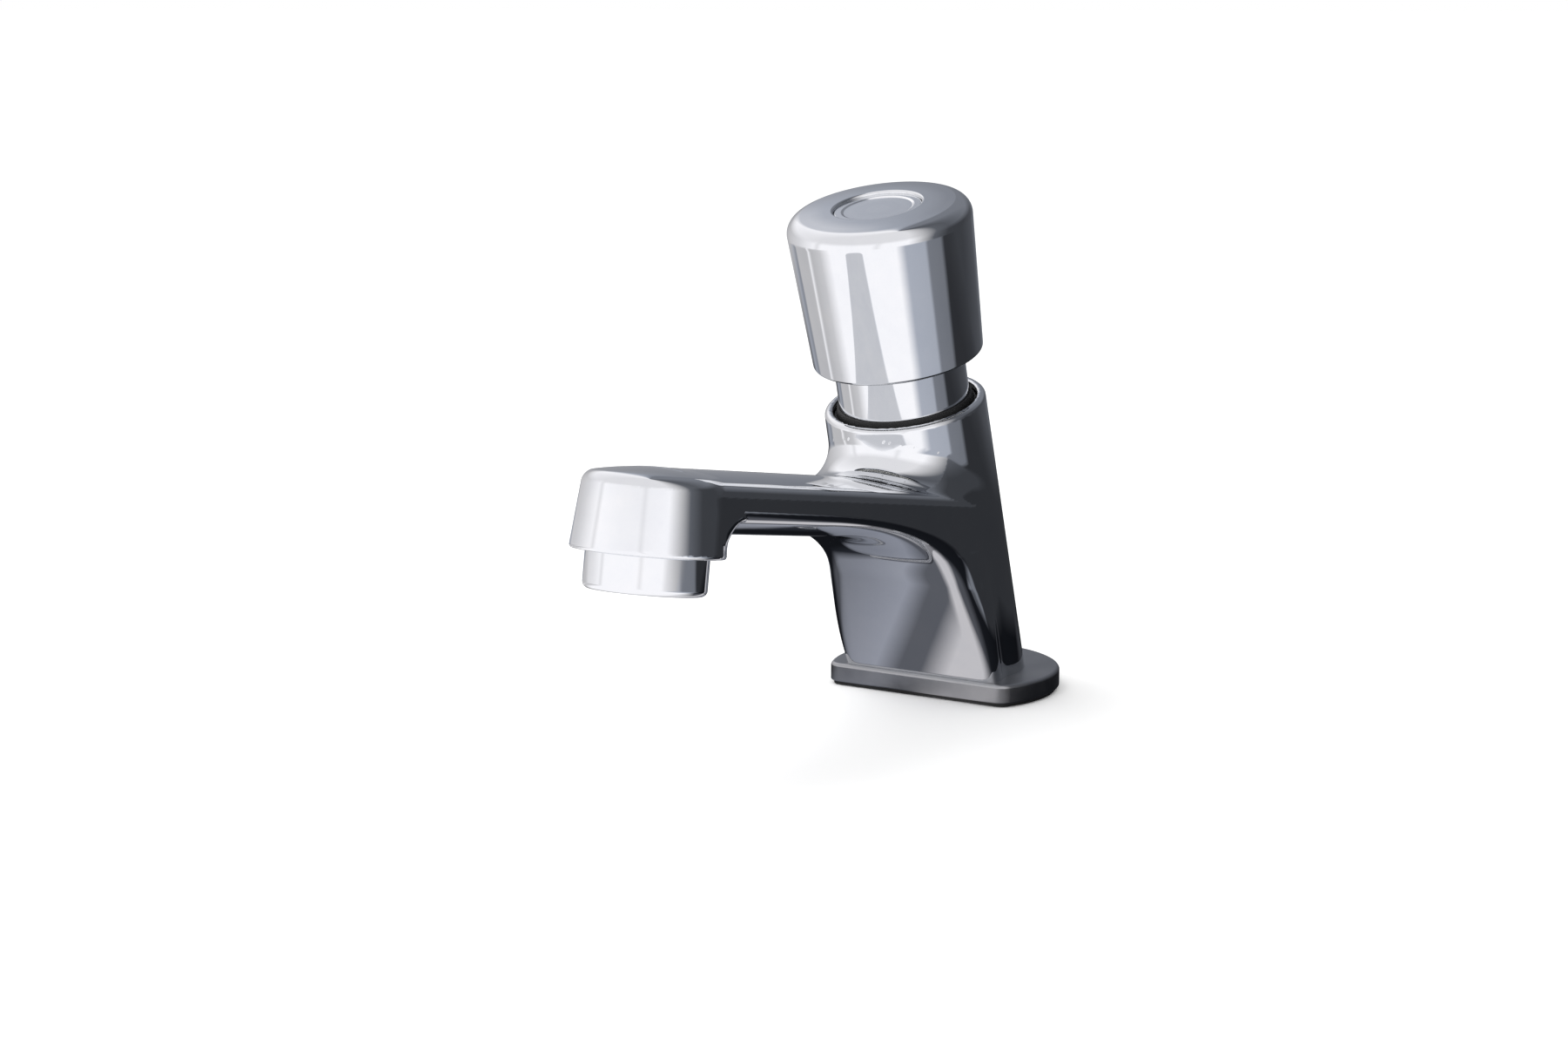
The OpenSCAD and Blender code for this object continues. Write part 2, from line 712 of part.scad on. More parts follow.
// A helical wire as one tube: rings of points carried up the coil
module return_spring() {
    sides = 6;
    steps = 10 * turns;
    rise = spring_l - 2 * wire_r - 2 * fit_gap;
    points = [
        for (i = [0:steps]) for (j = [0:sides - 1])
            let (a = 360 * turns * i / steps, b = 360 * j / sides, r = spring_r + wire_r * cos(b))
                [r * cos(a), r * sin(a), rise * i / steps + wire_r * sin(b)]
    ];
    skin = [
        for (i = [0:steps - 1]) for (j = [0:sides - 1])
            let (p = i * sides + j, q = i * sides + (j + 1) % sides)
                each [[p, p + sides, q], [q, p + sides, q + sides]]
    ];
    start = [for (j = [1:sides - 2]) [0, j, j + 1]];
    last = steps * sides;
    end = [for (j = [1:sides - 2]) [last, last + j + 1, last + j]];
    color("silver") on_axis(spring_s + wire_r + fit_gap)
        polyhedron(points = points, faces = concat(skin, start, end));
}

module bonnet() {
    color("gainsboro") on_axis() difference() {
        union() {
            translate([0, 0, bonnet_foot_s]) cylinder(r = thread_r, h = dust_seat_s - bonnet_foot_s);
            translate([0, 0, bonnet_foot_s]) cylinder(r = neck_r, h = bonnet_top_s - bonnet_foot_s);
        }
        cylinder(r = bonnet_bore_r, h = bonnet_roof_s);
        cylinder(r = bush_r + fit_gap, h = 2 * bonnet_top_s);
        translate([0, 0, bonnet_top_s - wiper_t]) cylinder(r = wiper_r + fit_gap, h = bonnet_top_t);
    }
}

module dust_ring() {
    color("black") on_axis(dust_seat_s)
        tube(dust_bore_r - fit_gap, neck_r + fit_gap, dust_ring_d / 2);
}

module stem_bush() {
    color("whitesmoke") on_axis(bonnet_roof_s)
        tube(bush_r, stem_hole_r, bonnet_top_t - wiper_t);
}

module stem_wiper() {
    color("black") on_axis(bonnet_top_s - wiper_t) tube(wiper_r, stem_hole_r, wiper_t);
}

module aerator_shell() {
    skirt_h = aerator_h - aerator_edge_r;
    color("gainsboro") at_head() difference() {
        union() {
            translate([0, 0, -head_h]) cylinder(r = aerator_thread_r, h = aerator_thread_l);
            translate([0, 0, -head_h - skirt_h]) cylinder(r = aerator_r, h = skirt_h);
            translate([0, 0, -head_h - skirt_h]) o_ring(aerator_r - aerator_edge_r, aerator_edge_r);
            translate([0, 0, aerator_foot]) cylinder(r = aerator_r - aerator_edge_r, h = aerator_h);
        }
        translate([0, 0, aerator_foot + aerator_lip]) cylinder(r = aerator_bore_r, h = 2 * head_h);
        translate([0, 0, aerator_foot - 1])
            cylinder(r = aerator_bore_r - aerator_lip, h = 2 * head_h);
    }
}

module aerator_washer() {
    color("black") at_head() translate([0, 0, washer_z])
        tube(aerator_thread_r, aerator_bore_r - 2 * aerator_lip, aerator_washer_t);
}

module aerator_core() {
    rib_t = core_wall / 2;
    color("whitesmoke") at_head() translate([0, 0, core_z]) {
        tube(core_r, core_r - core_wall, aerator_core_h);
        cylinder(r = core_hub_r, h = aerator_core_h);
        for (i = [0:core_ribs - 1]) rotate([0, 0, i * 360 / core_ribs]) translate([0, -rib_t / 2, 0])
            cube([core_r - core_wall / 2, rib_t, aerator_core_h]);
    }
}

module aerator_screen() {
    rows = floor((core_r - 1) / screen_pitch);
    hole = 0.6 * screen_pitch;
    color("lightgray") at_head() translate([0, 0, aerator_foot + aerator_lip]) difference() {
        cylinder(r = core_r, h = screen_t);
        for (i = [-rows:rows]) for (j = [-rows:rows])
            if (norm([i, j]) * screen_pitch < core_r - hole)
                translate([i * screen_pitch - hole / 2, j * screen_pitch - hole / 2, -1])
                    cube([hole, hole, screen_t + 2]);
    }
}

module push_cap() {
    color("gainsboro") on_axis(cap_foot_s) difference() {
        union() {
            cylinder(r1 = cap_foot_r, r2 = cap_top_r, h = cap_h - cap_edge_r);
            translate([0, 0, cap_h - cap_edge_r]) {
                cylinder(r = cap_top_r - cap_edge_r, h = cap_edge_r);
                o_ring(cap_top_r - cap_edge_r, cap_edge_r);
            }
        }
        difference() {
            translate([0, 0, -1]) cylinder(r = cap_bore_r, h = cap_h - cap_top_t + 1);
            translate([0, 0, cap_h - cap_top_t - boss_h]) cylinder(r = boss_r, h = 2 * boss_h);
        }
        translate([0, 0, boss_foot_s - cap_foot_s - 1]) cylinder(r = stem_r + fit_gap, h = socket_d + 1);
        translate([0, 0, boss_foot_s - cap_foot_s]) cylinder(r = cap_screw_r + fit_gap, h = cap_h);
        translate([0, 0, cap_h - cap_recess_d]) cylinder(r = cap_recess_r, h = 2 * cap_recess_d);
        translate([0, 0, cap_h - cap_recess_d - cap_screw_head_t])
            cylinder(r = cap_screw_head_r + fit_gap, h = 2 * cap_recess_d);
    }
}

module cap_disc() {
    color("silver") on_axis(cap_top_s - cap_recess_d)
        cylinder(r = cap_recess_r - fit_gap, h = cap_disc_t);
}

module cap_screw() {
    head_s = cap_top_s - cap_recess_d - cap_screw_head_t;
    color("lightgray") difference() {
        union() {
            on_axis(head_s) cylinder(r = cap_screw_head_r, h = cap_screw_head_t);
            on_axis(cap_screw_s) cylinder(r = cap_screw_r, h = head_s - cap_screw_s);
        }
        on_axis(head_s + cap_screw_head_t / 2)
            cylinder(r = cap_screw_hex_r, h = cap_screw_head_t, $fn = 6);
    }
}

module cap_guide_ring() {
    color("whitesmoke") on_axis(cap_foot_s + guide_ring_lift)
        tube(cap_bore_r - fit_gap, neck_r + slide_gap, guide_ring_h);
}

module push_stem() {
    color("khaki") on_axis() difference() {
        union() {
            translate([0, 0, valve_washer_s + valve_washer_t])
                cylinder(r = stem_r, h = stem_top_s - valve_washer_s - valve_washer_t);
            translate([0, 0, stem_tail_s]) cylinder(r = stem_tail_r, h = seat_s - stem_tail_s);
            translate([0, 0, stem_shoulder_s]) cylinder(r = stem_collar_r, h = stem_collar_t);
        }
        translate([0, 0, cap_screw_s - 1]) cylinder(r = cap_screw_r + fit_gap, h = stem_top_s);
    }
}

module piston() {
    groove_s = (piston_h - seal_groove_w) / 2;
    color("whitesmoke") on_axis(piston_s) difference() {
        cylinder(r = piston_r, h = piston_h);
        translate([0, 0, -1]) cylinder(r = stem_r + fit_gap, h = piston_h + 2);
        translate([0, 0, groove_s]) tube(piston_r + 1, piston_r - seal_groove_d, seal_groove_w);
        translate([0, metering_y(), -1]) cylinder(r = metering_r + fit_gap, h = piston_h + 2);
    }
}

// The metering screw stands between the stem's collar and the seal groove
function metering_y() = (stem_collar_r + piston_r - seal_groove_d) / 2;

module piston_seal() {
    groove_s = (piston_h - seal_groove_w) / 2;
    color("black") on_axis(piston_s + groove_s + fit_gap)
        tube(piston_r + slide_gap / 2, piston_r - seal_groove_d + fit_gap, seal_groove_w - 2 * fit_gap);
}

module metering_screw() {
    color("goldenrod") on_axis(piston_s) translate([0, metering_y(), 0])
        cylinder(r = metering_r, h = piston_h);
}

module valve_disc() {
    color("goldenrod") on_axis(valve_s) tube(valve_r, stem_tail_r + fit_gap, valve_t);
}

module valve_washer() {
    color("black") on_axis(valve_washer_s) tube(valve_r, stem_tail_r + fit_gap, valve_washer_t);
}

module valve_nut() {
    color("goldenrod") on_axis(valve_nut_s) difference() {
        cylinder(r = valve_nut_r, h = valve_nut_t, $fn = 6);
        translate([0, 0, -1]) cylinder(r = stem_tail_r + fit_gap, h = valve_nut_t + 2);
    }
}

tap_body();
base_plate();
base_gasket();
inlet_shank();
shank_seal();
inlet_strainer();
deck_rubber_washer();
deck_steel_washer();
backnut();
valve_seat();
seat_o_ring();
cartridge_sleeve();
sleeve_o_ring();
stem_guide();
guide_o_ring();
return_spring();
bonnet();
dust_ring();
stem_bush();
stem_wiper();
aerator_shell();
aerator_washer();
aerator_core();
aerator_screen();
push_cap();
cap_disc();
cap_screw();
cap_guide_ring();
push_stem();
piston();
piston_seal();
metering_screw();
valve_disc();
valve_washer();
valve_nut();
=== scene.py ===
"""Looks of a push timed tap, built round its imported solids. Sizes are in millimetres until a mesh is made."""
import itertools

import bpy
import numpy as np
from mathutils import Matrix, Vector


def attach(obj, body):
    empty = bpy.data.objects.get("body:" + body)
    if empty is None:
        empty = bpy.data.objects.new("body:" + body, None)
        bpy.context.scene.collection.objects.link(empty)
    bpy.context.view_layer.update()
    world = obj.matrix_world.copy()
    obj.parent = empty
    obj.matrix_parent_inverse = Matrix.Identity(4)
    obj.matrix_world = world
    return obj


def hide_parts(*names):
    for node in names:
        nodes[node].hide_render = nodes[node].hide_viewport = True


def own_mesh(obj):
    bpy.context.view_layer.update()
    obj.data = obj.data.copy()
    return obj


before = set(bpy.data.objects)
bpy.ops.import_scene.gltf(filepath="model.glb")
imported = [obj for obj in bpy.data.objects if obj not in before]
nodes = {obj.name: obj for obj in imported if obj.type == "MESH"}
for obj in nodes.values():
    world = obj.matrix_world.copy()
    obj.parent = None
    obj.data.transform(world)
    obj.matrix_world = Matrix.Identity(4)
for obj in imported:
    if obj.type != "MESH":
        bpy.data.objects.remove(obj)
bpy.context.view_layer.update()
scene = bpy.context.scene


# Inlet shank, its strainer and fibre washer, and the clamp under the deck: a turned half inch brass
# pipe with a rolled thread, a hexagon backnut, a steel and a rubber washer. The shank screws into
# the leg from below and the backnut draws the tap down on the deck.
def linear(code):
    """Linear colour of an sRGB hex code: c / 12.92 below 0.04045, else ((c + 0.055) / 1.055) to the power 2.4."""
    c = np.array([int(code[i:i + 2], 16) for i in (1, 3, 5)]) / 255
    return (*np.where(c <= 0.04045, c / 12.92, ((c + 0.055) / 1.055) ** 2.4), 1.0)


def add(tree, kind, inputs, **settings):
    """One node of a kind, its properties from settings, and its inputs from values or from other nodes' outputs."""
    node = tree.nodes.new("ShaderNode" + kind)
    for key, value in settings.items():
        setattr(node, key, value)
    for key, value in inputs.items():
        if isinstance(value, bpy.types.NodeSocket):
            tree.links.new(value, node.inputs[key])
        else:
            node.inputs[key].default_value = value
    return node


def finish(name, **sockets):
    """A new material and its tree, with the shader's uniform values set on its own sockets."""
    material = bpy.data.materials.new(name)
    material.use_nodes = True
    shader = material.node_tree.nodes["Principled BSDF"]
    for key, value in sockets.items():
        shader.inputs[key.replace("_", " ")].default_value = value
    return material, material.node_tree, shader


def place_in(tree):
    """A point's place in its object, in metres."""
    return add(tree, "TexCoord", {}).outputs["Object"]


def noise(tree, place, scale, detail, **more):
    """Noise over a place, scale times finer than a metre."""
    return add(tree, "TexNoise", {"Vector": place, "Scale": scale, "Detail": detail, **more}).outputs["Fac"]


def wire(tree, shader, **sockets):
    """Links outputs to the shader's sockets."""
    for key, value in sockets.items():
        tree.links.new(value, shader.inputs[key.replace("_", " ")])


def spread(tree, value, low, high):
    """A noise's middle half, 0.25 to 0.75, mapped onto a range."""
    return add(tree, "MapRange", {"Value": value, 1: 0.25, 2: 0.75, 3: low, 4: high}).outputs[0]


def ramp(tree, value, stops):
    """A ramp of colours over a value, from a first stop to a last."""
    first, last = stops[0][0], stops[-1][0]
    share = add(tree, "MapRange", {"Value": value, 1: first, 2: last}).outputs[0]
    node = add(tree, "ValToRGB", {"Fac": share})
    points = node.color_ramp.elements
    for k, (at, colour) in enumerate([stops[0], stops[-1]] + stops[1:-1]):
        point = points[k] if k < 2 else points.new((at - first) / (last - first))
        point.color = colour
    return node.outputs["Color"]


def tint(tree, value, *codes):
    """A noise's middle half run through evenly spaced colours."""
    stops = [(k / (len(codes) - 1), linear(code)) for k, code in enumerate(codes)]
    return ramp(tree, spread(tree, value, 0.0, 1.0), stops)


# Machined brass: warm yellow, with turning marks about 0.4 mm apart, drawn as rings of noise
# stretched round the axis, and a brown bloom a centimetre across.
brass, tree, shader = finish("machined_brass", Metallic=1.0)
place = place_in(tree)
rings = add(tree, "Mapping", {"Vector": place, "Scale": (60, 60, 2500)}).outputs[0]
marks = noise(tree, rings, 1.0, 3.0)
bloom = noise(tree, place, 100.0, 4.0)
groove = add(tree, "Bump", {"Height": marks, "Strength": 0.25, "Distance": 0.00005}).outputs[0]
wire(tree, shader, Base_Color=tint(tree, bloom, "#8f6d35", "#b8934f", "#c9a55e"),
     Roughness=spread(tree, marks, 0.22, 0.42), Normal=groove)

# Stainless steel: a cool grey, rolled or drawn, with a fine grain along one way.
stainless, tree, shader = finish("stainless_steel", Metallic=1.0)
grain = add(tree, "Mapping", {"Vector": place_in(tree), "Scale": (200, 3000, 3000)}).outputs[0]
marks = noise(tree, grain, 1.0, 2.0)
wire(tree, shader, Base_Color=tint(tree, marks, "#a9abad", "#c4c6c8"), Roughness=spread(tree, marks, 0.2, 0.36))

# Nitrile rubber: black, matt from the mould, with a fine pimpled skin and a pale bloom.
rubber, tree, shader = finish("nitrile_rubber", IOR=1.52)
place = place_in(tree)
skin = noise(tree, place, 1800.0, 2.0)
bloom = noise(tree, place, 160.0, 3.0)
pimples = add(tree, "Bump", {"Height": skin, "Strength": 0.2, "Distance": 0.00003}).outputs[0]
wire(tree, shader, Base_Color=tint(tree, bloom, "#0d0e0f", "#121314", "#17181a"),
     Roughness=spread(tree, bloom, 0.55, 0.65), Normal=pimples)

# Red fibre: pressed paper, dull, with darker specks half a millimetre across.
fibre, tree, shader = finish("red_fibre", IOR=1.5)
specks = noise(tree, place_in(tree), 2000.0, 3.0)
wire(tree, shader, Base_Color=tint(tree, specks, "#4a1712", "#7a2a20", "#8c3a2c"),
     Roughness=spread(tree, specks, 0.7, 0.9))


def wear(material, *names):
    """Gives CAD nodes whose shape is right their material."""
    for name in names:
        nodes[name].data.materials.clear()
        nodes[name].data.materials.append(material)


wear(brass, "backnut")
wear(stainless, "inlet_strainer", "deck_steel_washer")
wear(rubber, "deck_rubber_washer", "base_gasket")
wear(fibre, "shank_seal")


def piece(name, points, normals, faces, material, body, slot, *stands_for):
    """A smooth mesh from points and outward normals, made to ride on a body and to stand for CAD nodes."""
    mesh = bpy.data.meshes.new(name)
    mesh.from_pydata((np.asarray(points) * 0.001).tolist(), [], faces)
    mesh.polygons.foreach_set("use_smooth", np.ones(len(mesh.polygons), bool))
    mesh.materials.append(material)
    mesh.normals_split_custom_set_from_vertices(np.asarray(normals).tolist())
    made = bpy.data.objects.new(name, mesh)
    scene.collection.objects.link(made)
    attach(made, body)
    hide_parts(*stands_for)
    return made


def net(index, across=True, along=True):
    """Four-sided faces of a grid of corner numbers, closed on itself across or along or both."""
    if across:
        index = np.concatenate([index, index[:, :1]], 1)
    if along:
        index = np.concatenate([index, index[:1]], 0)
    a, b, c, d = index[:-1, :-1], index[:-1, 1:], index[1:, 1:], index[1:, :-1]
    return np.stack([a, b, c, d], -1).reshape(-1, 4)


# The shank's skin: a rolled G 1/2 thread, pitch 1.814 mm and 1.16 mm deep, below a plain relief groove,
# its bore and the pocket that holds the strainer.
PITCH, THREAD_H = 1.814, 1.16
SHANK_R, SHANK_FOOT, SHANK_TOP, SHANK_CHAMFER = 10.48, -48.0, 14.0, 0.6
GROOVE_R, GROOVE_FOOT, GROOVE_TOP = 9.58, -34.1, -32.1
SHANK_ROUND, SHANK_ROWS = 96, 560


def shank_skin(turn, up):
    """Radius = outside radius - depth x share, where the share is a wave of height / pitch - turn whose flanks are
    clipped to crest and root; a groove and a chamfer at both ends are cut into that."""
    wave = np.abs(((up / PITCH - turn / (2 * np.pi)) % 1.0) * 2 - 1)
    thread = SHANK_R - THREAD_H * np.clip((wave - 0.15) / 0.7, 0, 1)
    plain = np.where((up < GROOVE_TOP) & (up > GROOVE_FOOT), GROOVE_R, thread)
    ends = np.minimum(SHANK_CHAMFER, np.minimum(up - SHANK_FOOT, SHANK_TOP - up).clip(0))
    return np.minimum(plain, SHANK_R - SHANK_CHAMFER + ends)


turn = np.linspace(0, 2 * np.pi, SHANK_ROUND, endpoint=False)
turn, up = np.meshgrid(turn, np.linspace(SHANK_FOOT, SHANK_TOP, SHANK_ROWS))
outside = np.stack([shank_skin(turn, up), up], -1)
bore = np.array([[6.65, SHANK_TOP], [6.65, 12.8], [5.5, 12.8], [5.5, -47.4], [6.1, SHANK_FOOT]])
inside = np.broadcast_to(bore[:, None], (len(bore), SHANK_ROUND, 2))
tall = np.concatenate([outside, inside])
around = np.stack([np.cos(turn[0]), np.sin(turn[0])], -1)
points = np.concatenate([tall[..., :1] * around, tall[..., 1:]], -1)
wider, higher = np.moveaxis(np.gradient(tall, axis=0), -1, 0)
normals = np.concatenate([higher[..., None] * around, -wider[..., None]], -1)
normals /= np.linalg.norm(normals, axis=-1, keepdims=True) + 1e-12
faces = net(np.arange(tall.shape[0] * SHANK_ROUND).reshape(-1, SHANK_ROUND))
piece("threaded_shank", points.reshape(-1, 3), normals.reshape(-1, 3), faces.tolist(),
      brass, "tap", "brass", "inlet_shank")


# Base plate: a D-shaped cast plate that the leg stands on, satin plated and dulled by water.
# The leg and the deck clamp it between them, on a thin rubber gasket.
def plate_outline(count=420):
    """Points and outward normals of a round back, two round corners and a flat front, evenly spaced along it all."""
    back_r, front, corner_r = 28.5, 14.6, 4.0
    corner_x = np.sqrt((back_r - corner_r) ** 2 - (front - corner_r) ** 2)
    tip = np.arctan2(corner_r - front, corner_x)
    arcs = 400, 60, 60
    ends = (tip, np.pi - tip), (np.pi - tip, 1.5 * np.pi), (1.5 * np.pi, 2 * np.pi + tip)
    angle = np.concatenate([np.linspace(*pair, steps) for pair, steps in zip(ends, arcs)])
    centre = np.repeat([[0, 0], [-corner_x, corner_r - front], [corner_x, corner_r - front]], arcs, axis=0)
    radius = np.repeat([back_r, corner_r, corner_r], arcs)
    out = np.stack([np.cos(angle), np.sin(angle)], -1)
    line = centre + radius[:, None] * out
    apart = np.linalg.norm(np.roll(line, -1, 0) - line, axis=1)
    length = np.concatenate([[0], np.cumsum(apart)])
    at = np.linspace(0, length[-1], count, endpoint=False)
    ring = np.concatenate([line, out], 1)
    ring = np.concatenate([ring, ring[:1]])
    found = np.stack([np.interp(at, length, ring[:, k]) for k in range(4)], -1)
    return found[:, :2], found[:, 2:] / np.linalg.norm(found[:, 2:], axis=1, keepdims=True)


def stacked(flat, height):
    """Rings of flat points, each ring given a height of its own."""
    tall = np.broadcast_to(np.reshape(height, (-1, 1, 1)), (len(height), flat.shape[-2], 1))
    return np.concatenate([np.broadcast_to(flat, tall.shape[:2] + (2,)), tall], -1)


line, out = plate_outline()
bend = np.linspace(0, np.pi / 2, 7)
edge_r, foot_r, low, high, hole_r = 0.9, 0.35, 0.8, 5.4, 10.88
inset = np.concatenate([edge_r - edge_r * np.sin(bend), foot_r - foot_r * np.cos(bend)])
height = np.concatenate([high - edge_r + edge_r * np.cos(bend), low + foot_r - foot_r * np.sin(bend)])
tilt = np.concatenate([np.pi / 2 - bend, -bend])
rim = stacked(line - inset[:, None, None] * out, height)
rim_normals = stacked(np.cos(tilt)[:, None, None] * out, np.sin(tilt))
ray = line / np.linalg.norm(line, axis=1, keepdims=True)
wall = stacked(ray * hole_r, (low, low, high, high))
wall_normals = stacked(np.reshape([0, -1, -1, 0], (4, 1, 1)) * ray, (-1.0, 0.0, 0.0, 1.0))
points, normals = np.concatenate([rim, wall]), np.concatenate([rim_normals, wall_normals])
faces = net(np.arange(len(points) * len(line)).reshape(len(points), -1))[:, ::-1]

# Satin nickel: a soft grey plate, blasted before plating, with grit half a millimetre across (drawn coarse
# so that it shows) and water marks a centimetre wide.
satin, tree, shader = finish("satin_nickel", Metallic=1.0)
place = place_in(tree)
grit = noise(tree, place, 1600.0, 2.0)
stain = noise(tree, place, 70.0, 4.0, Roughness=0.6)
blast = add(tree, "Bump", {"Height": grit, "Strength": 0.2, "Distance": 0.00006}).outputs[0]
wire(tree, shader, Base_Color=tint(tree, stain, "#9b9c9f", "#a7a8ab", "#b1b2b4"),
     Roughness=spread(tree, stain, 0.26, 0.42), Normal=blast)
piece("satin_plate", points.reshape(-1, 3), normals.reshape(-1, 3), faces.tolist(),
      satin, "tap", "satin_plate", "base_plate")


# Tap body: one hollow brass casting, ground and polished by hand and then chromed. A leaning round column,
# a leg with flared front corners and a flat spout with a round head run into one another in soft hollows.
# Such blends have no grid of their own, so the skin is the zero of one distance function.
LEAN, TILT, SLANT = np.radians([15.4, 9.0, 24.5])  # of the column, the spout and the leg's front face
REACH, HEAD_Z, FOOT_Z, FACE_Y = 123.4, 69.3, 5.4, -13.6  # the head's centre, and the foot of the leg's front face
COLUMN_R, COLUMN_TAPER, COLUMN_TOP = 20.4, 0.9 / 75.3, 76.5
SPOUT_HALF, SPOUT_FLARE, CROWN_LIFT, CROWN_H = 15.0, 4.5 / 108.05, 1.4, 2.6
LEG_HALF, LEG_TAPER, LEG_FADE_Z, LEG_FADE = 24.2, 0.1545, 38.0, 0.1
# The leg's flank, from the column's side out to its front corner: where it starts, its run, its rise and its length.
FLANK_X, FLANK_RUN, FLANK_IN, FLANK_LEN = 18.3, 13.6, 5.9, 14.82
HEAD_R, HEAD_H, HEAD_DOME_R = 15.1, 17.0, 61.99
WEB_R, WEB_WIDE, WEB_TALL = 20.8, 4.4, 8.4  # the hollow between the head's back and the spout's belly


def step(value, low, high):
    """Smooth step: 0 below low, 1 above high, 3 t t - 2 t t t between."""
    t = np.clip((value - low) / (high - low), 0, 1)
    return t * t * (3 - 2 * t)


def meet(a, b, r, p=2.0):
    """Both of two solids, with the edge between them rounded over r: u^p + v^p = r^p, u and v being a and b plus r.
    A power over 2 lets the bend grow slowly out of the faces, as buffing does."""
    u, v = np.maximum(a + r, 0), np.maximum(b + r, 0)
    return np.minimum(np.maximum(a, b), -r) + (u ** p + v ** p) ** (1 / p)


def join(a, b, r, along):
    """Either of two solids, with the corner between them hollowed by a ball of radius r that rolls on both. With along
    the cosine between their outward normals, the ball's centre is sqrt(u u + v v - 2 along u v) over
    sqrt(1 - along along) away, u and v being what a and b lack of r; past the lines where the ball touches, the nearer
    face is left as it is."""
    u, v = r - a, r - b
    away = np.sqrt(np.maximum(u * u + v * v - 2 * along * u * v, 0) / np.maximum(1 - along * along, 1e-4))
    return np.where((u > along * v) & (v > along * u) & (u > 0) & (v > 0), r - away, np.minimum(a, b))


def underside(x, y, z, drop, half):
    """The spout's belly running down into the leg's front face: with a and b the depths outside the two as shares of
    the hollow's reach on each, the skin is (1 - a)^p + (1 - b)^p = 1, and its value is divided by its slope."""
    belly = 4.2 * np.clip(1 - (x / half) ** 2, 0, 1)
    reach_a, reach_b, p = 15.0 - belly, 43.8 - 5.2 * belly, 2.4
    a = (-drop - 8.4 - belly) / reach_a
    b = (-(y - FACE_Y) * np.cos(SLANT) - (z - FOOT_Z) * np.sin(SLANT)) / reach_b
    share_a, share_b = np.maximum(1 - a, 1e-6), np.maximum(1 - b, 1e-6)
    total = (share_a ** p + share_b ** p) ** (1 / p)
    slope_a, slope_b = (share_a / total) ** (p - 1) / reach_a, (share_b / total) ** (p - 1) / reach_b
    between = np.cos(np.pi / 2 - SLANT - TILT)
    slope = np.sqrt(slope_a ** 2 + slope_b ** 2 + 2 * slope_a * slope_b * between)
    return (np.maximum(1, np.minimum(a, b)) - total) / np.maximum(slope, 0.01)


